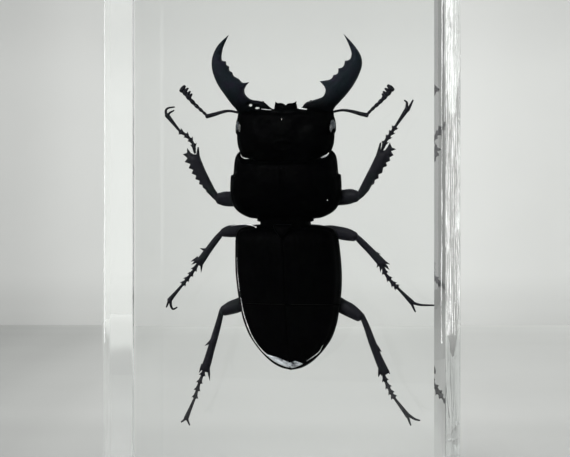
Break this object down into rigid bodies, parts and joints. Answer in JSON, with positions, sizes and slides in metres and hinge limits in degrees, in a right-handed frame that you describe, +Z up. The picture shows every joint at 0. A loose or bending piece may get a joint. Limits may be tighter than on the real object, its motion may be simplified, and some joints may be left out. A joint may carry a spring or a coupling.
{
  "type": "insect in resin block",
  "caption": "Black stag beetle, legs and jaws spread, cast at mid-depth in an upright clear resin block with polished faces and eased edges.",
  "frame": {"origin": "middle of the block's base", "axes": "+Z up along the block and the beetle's body, towards its head; +Y across the block's thickness, from the face that shows the beetle's back to the face that shows its underside; +X to the right as the beetle's back is looked at"},
  "size_m": [0.065, 0.028, 0.11],
  "materials": {
    "clear_resin": "water-clear cast polyester resin, ground flat and polished, index 1.5",
    "black_chitin": "black chitin, satin under the resin, finely pitted on the wing cases"
  },
  "bodies": {
    "root": {"resin_front": "clear_resin", "resin_back": "clear_resin", "stag_beetle": "black_chitin"}
  },
  "joints": []
}
